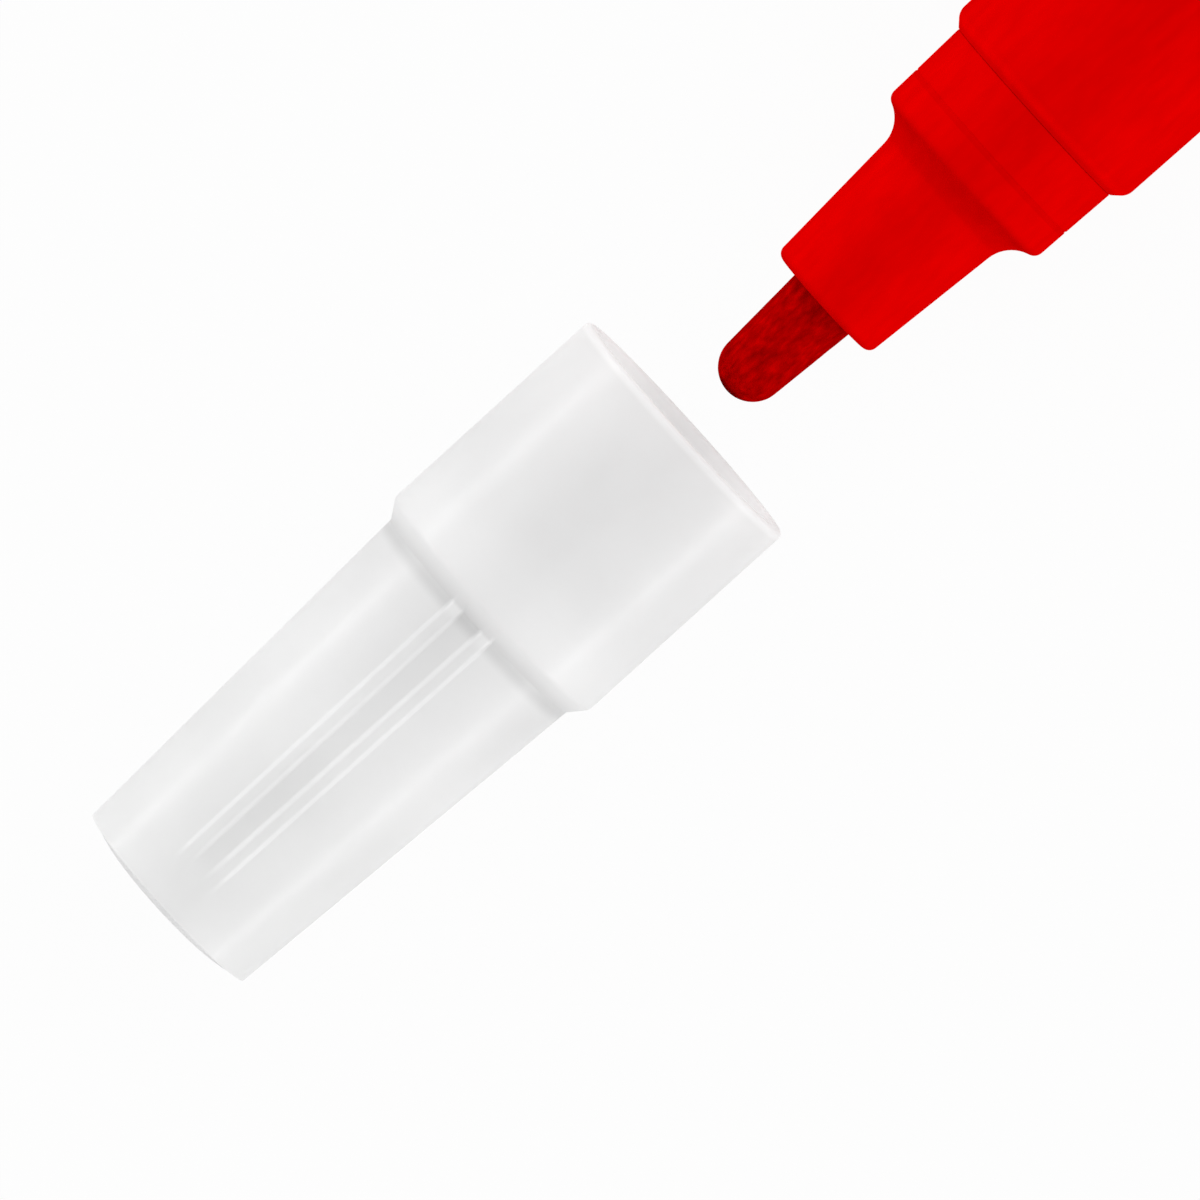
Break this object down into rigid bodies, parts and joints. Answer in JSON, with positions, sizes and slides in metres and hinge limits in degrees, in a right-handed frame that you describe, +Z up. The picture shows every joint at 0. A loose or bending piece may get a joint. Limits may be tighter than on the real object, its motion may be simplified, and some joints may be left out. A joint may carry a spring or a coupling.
{
  "type": "paint marker",
  "caption": "Bullet-tip paint marker with a pump valve: tapered round barrel, stepped nose and collar, and a ribbed, stepped pull-off cap drawn off in line with the nib.",
  "frame": {"origin": "on the surface that the marker lies on, below the middle of its length with the cap drawn off", "axes": "+X along the marker's axis from the cap to the tail, +Z up"},
  "size_m": [0.1878, 0.0178, 0.0178],
  "materials": {
    "red_plastic": "satin moulded",
    "red_fibre": "bonded fibre",
    "seal_rubber": "matt",
    "valve_plastic": "moulded",
    "steel": "bright",
    "cap_plastic": "milky moulded",
    "liner_plastic": "moulded"
  },
  "bodies": {
    "marker": {"barrel": "red_plastic", "tail_plug": "red_plastic", "front_holder": "red_plastic", "valve_seat": "seal_rubber", "valve_spring": "steel", "valve_case": "valve_plastic", "spring_retainer": "valve_plastic"},
    "pump": {"nib": "red_fibre", "valve_stem": "valve_plastic"},
    "ball": {"mixing_ball": "steel"},
    "cap": {"cap_shell": "cap_plastic", "inner_cap": "liner_plastic"}
  },
  "joints": [
    {"name": "cap_slide", "type": "slide", "parent": "marker", "child": "cap", "axis": [1, 0, 0], "range_m": [0, 0.0442]},
    {"name": "nib_press", "type": "slide", "parent": "marker", "child": "pump", "axis": [1, 0, 0], "range_m": [0, 0.002], "stiffness_N_per_m": 600, "springref_m": -0.002, "deforming": ["valve_spring"]},
    {"name": "ball_roll", "type": "slide", "parent": "marker", "child": "ball", "axis": [1, 0, -0.0086], "range_m": [-0.0845, 0]}
  ]
}
